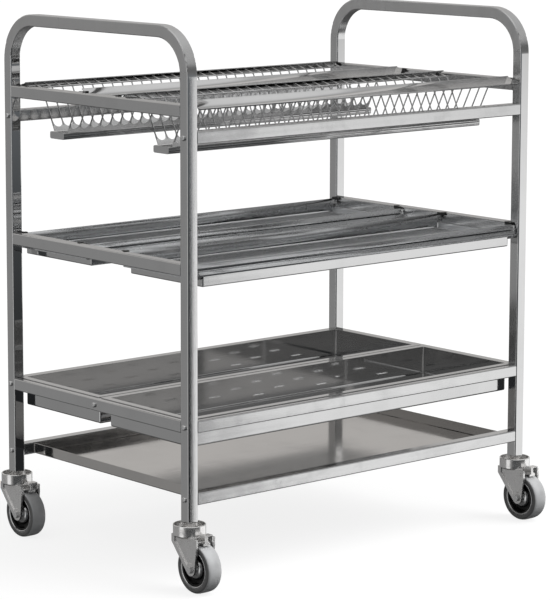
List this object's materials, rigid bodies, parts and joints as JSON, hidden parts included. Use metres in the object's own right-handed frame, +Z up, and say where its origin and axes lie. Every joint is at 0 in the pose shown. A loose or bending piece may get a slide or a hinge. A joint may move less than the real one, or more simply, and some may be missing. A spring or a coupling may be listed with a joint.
{
  "type": "dish drying trolley",
  "caption": "Square-tube drying trolley on braked swivel casters, with lift-out plate racks, cup racks over drip trays, deep trays and a bottom shelf.",
  "frame": {"origin": "on the floor, under the middle of the whole trolley", "axes": "+Z up, +X along the length to the right end, +Y from the front to the rear; the wheels trail to -Y"},
  "size_m": [0.991, 0.6995, 1.119],
  "materials": {
    "frame_tube": "polished stainless square tube",
    "sheet_steel": "satin stainless sheet",
    "rack_band": "satin stainless band",
    "rack_wire": "bright wire",
    "bolt_steel": "bright steel fasteners",
    "caster_zinc": "bright zinc on pressed steel",
    "hook_plastic": "black moulded plastic",
    "wheel_hub": "turned alloy hub",
    "tyre_rubber": "grey rubber"
  },
  "bodies": {
    "frame": {"left_hoop": "frame_tube", "right_hoop": "frame_tube", "left_crossbars": "frame_tube", "right_crossbars": "frame_tube", "front_top_rail": "frame_tube", "front_lower_rail": "frame_tube", "front_shelf_rail": "frame_tube", "rear_top_rail": "frame_tube", "rear_lower_rail": "frame_tube", "rear_shelf_rail": "frame_tube", "middle_lower_rail": "frame_tube", "frame_bolts": "bolt_steel", "bottom_shelf": "sheet_steel", "front_left_caster_stem": "caster_zinc", "front_right_caster_stem": "caster_zinc", "rear_left_caster_stem": "caster_zinc", "rear_right_caster_stem": "caster_zinc"},
    "front_left_caster": {"front_left_caster_fork": "caster_zinc", "front_left_axle_bolt": "bolt_steel"},
    "front_left_wheel": {"front_left_wheel_hub": "wheel_hub", "front_left_tyre": "tyre_rubber"},
    "front_left_brake": {"front_left_brake_pedal": "caster_zinc"},
    "front_right_caster": {"front_right_caster_fork": "caster_zinc", "front_right_axle_bolt": "bolt_steel"},
    "front_right_wheel": {"front_right_wheel_hub": "wheel_hub", "front_right_tyre": "tyre_rubber"},
    "front_right_brake": {"front_right_brake_pedal": "caster_zinc"},
    "rear_left_caster": {"rear_left_caster_fork": "caster_zinc", "rear_left_axle_bolt": "bolt_steel"},
    "rear_left_wheel": {"rear_left_wheel_hub": "wheel_hub", "rear_left_tyre": "tyre_rubber"},
    "rear_left_brake": {"rear_left_brake_pedal": "caster_zinc"},
    "rear_right_caster": {"rear_right_caster_fork": "caster_zinc", "rear_right_axle_bolt": "bolt_steel"},
    "rear_right_wheel": {"rear_right_wheel_hub": "wheel_hub", "rear_right_tyre": "tyre_rubber"},
    "rear_right_brake": {"rear_right_brake_pedal": "caster_zinc"},
    "front_plate_rack": {"front_plate_rack_base": "rack_band", "front_plate_rack_hooks": "hook_plastic", "front_plate_rack_front_rail": "rack_band", "front_plate_rack_front_comb": "rack_wire", "front_plate_rack_rear_rail": "rack_band", "front_plate_rack_rear_comb": "rack_wire"},
    "front_cup_rack": {"front_cup_rack_rails": "rack_band", "front_cup_rack_floor": "rack_wire", "front_cup_rack_hooks": "hook_plastic", "front_drip_tray": "sheet_steel"},
    "front_deep_tray": {"front_deep_tray": "sheet_steel"},
    "rear_plate_rack": {"rear_plate_rack_base": "rack_band", "rear_plate_rack_hooks": "hook_plastic", "rear_plate_rack_front_rail": "rack_band", "rear_plate_rack_front_comb": "rack_wire", "rear_plate_rack_rear_rail": "rack_band", "rear_plate_rack_rear_comb": "rack_wire"},
    "rear_cup_rack": {"rear_cup_rack_rails": "rack_band", "rear_cup_rack_floor": "rack_wire", "rear_cup_rack_hooks": "hook_plastic", "rear_drip_tray": "sheet_steel"},
    "rear_deep_tray": {"rear_deep_tray": "sheet_steel"}
  },
  "joints": [
    {"name": "front_left_swivel", "type": "hinge", "parent": "frame", "child": "front_left_caster", "pos_m": [-0.4625, -0.26825, 0.11], "axis": [0, 0, 1], "continuous": true},
    {"name": "front_left_wheel_spin", "type": "hinge", "parent": "front_left_caster", "child": "front_left_wheel", "pos_m": [-0.4625, -0.29975, 0.05], "axis": [1, 0, 0], "continuous": true},
    {"name": "front_left_brake_press", "type": "hinge", "parent": "front_left_caster", "child": "front_left_brake", "pos_m": [-0.4625, -0.31125, 0.104], "axis": [1, 0, 0], "range_deg": [0, 14]},
    {"name": "front_right_swivel", "type": "hinge", "parent": "frame", "child": "front_right_caster", "pos_m": [0.4625, -0.26825, 0.11], "axis": [0, 0, 1], "continuous": true},
    {"name": "front_right_wheel_spin", "type": "hinge", "parent": "front_right_caster", "child": "front_right_wheel", "pos_m": [0.4625, -0.29975, 0.05], "axis": [1, 0, 0], "continuous": true},
    {"name": "front_right_brake_press", "type": "hinge", "parent": "front_right_caster", "child": "front_right_brake", "pos_m": [0.4625, -0.31125, 0.104], "axis": [1, 0, 0], "range_deg": [0, 14]},
    {"name": "rear_left_swivel", "type": "hinge", "parent": "frame", "child": "rear_left_caster", "pos_m": [-0.4625, 0.31675, 0.11], "axis": [0, 0, 1], "continuous": true},
    {"name": "rear_left_wheel_spin", "type": "hinge", "parent": "rear_left_caster", "child": "rear_left_wheel", "pos_m": [-0.4625, 0.28525, 0.05], "axis": [1, 0, 0], "continuous": true},
    {"name": "rear_left_brake_press", "type": "hinge", "parent": "rear_left_caster", "child": "rear_left_brake", "pos_m": [-0.4625, 0.27375, 0.104], "axis": [1, 0, 0], "range_deg": [0, 14]},
    {"name": "rear_right_swivel", "type": "hinge", "parent": "frame", "child": "rear_right_caster", "pos_m": [0.4625, 0.31675, 0.11], "axis": [0, 0, 1], "continuous": true},
    {"name": "rear_right_wheel_spin", "type": "hinge", "parent": "rear_right_caster", "child": "rear_right_wheel", "pos_m": [0.4625, 0.28525, 0.05], "axis": [1, 0, 0], "continuous": true},
    {"name": "rear_right_brake_press", "type": "hinge", "parent": "rear_right_caster", "child": "rear_right_brake", "pos_m": [0.4625, 0.27375, 0.104], "axis": [1, 0, 0], "range_deg": [0, 14]},
    {"name": "front_plate_rack_lift", "type": "slide", "parent": "frame", "child": "front_plate_rack", "axis": [0, 0, 1], "range_m": [0, 0.07]},
    {"name": "front_cup_rack_lift", "type": "slide", "parent": "frame", "child": "front_cup_rack", "axis": [0, 0, 1], "range_m": [0, 0.1]},
    {"name": "front_deep_tray_lift", "type": "slide", "parent": "frame", "child": "front_deep_tray", "axis": [0, 0, 1], "range_m": [0, 0.1]},
    {"name": "rear_plate_rack_lift", "type": "slide", "parent": "frame", "child": "rear_plate_rack", "axis": [0, 0, 1], "range_m": [0, 0.07]},
    {"name": "rear_cup_rack_lift", "type": "slide", "parent": "frame", "child": "rear_cup_rack", "axis": [0, 0, 1], "range_m": [0, 0.1]},
    {"name": "rear_deep_tray_lift", "type": "slide", "parent": "frame", "child": "rear_deep_tray", "axis": [0, 0, 1], "range_m": [0, 0.1]}
  ]
}
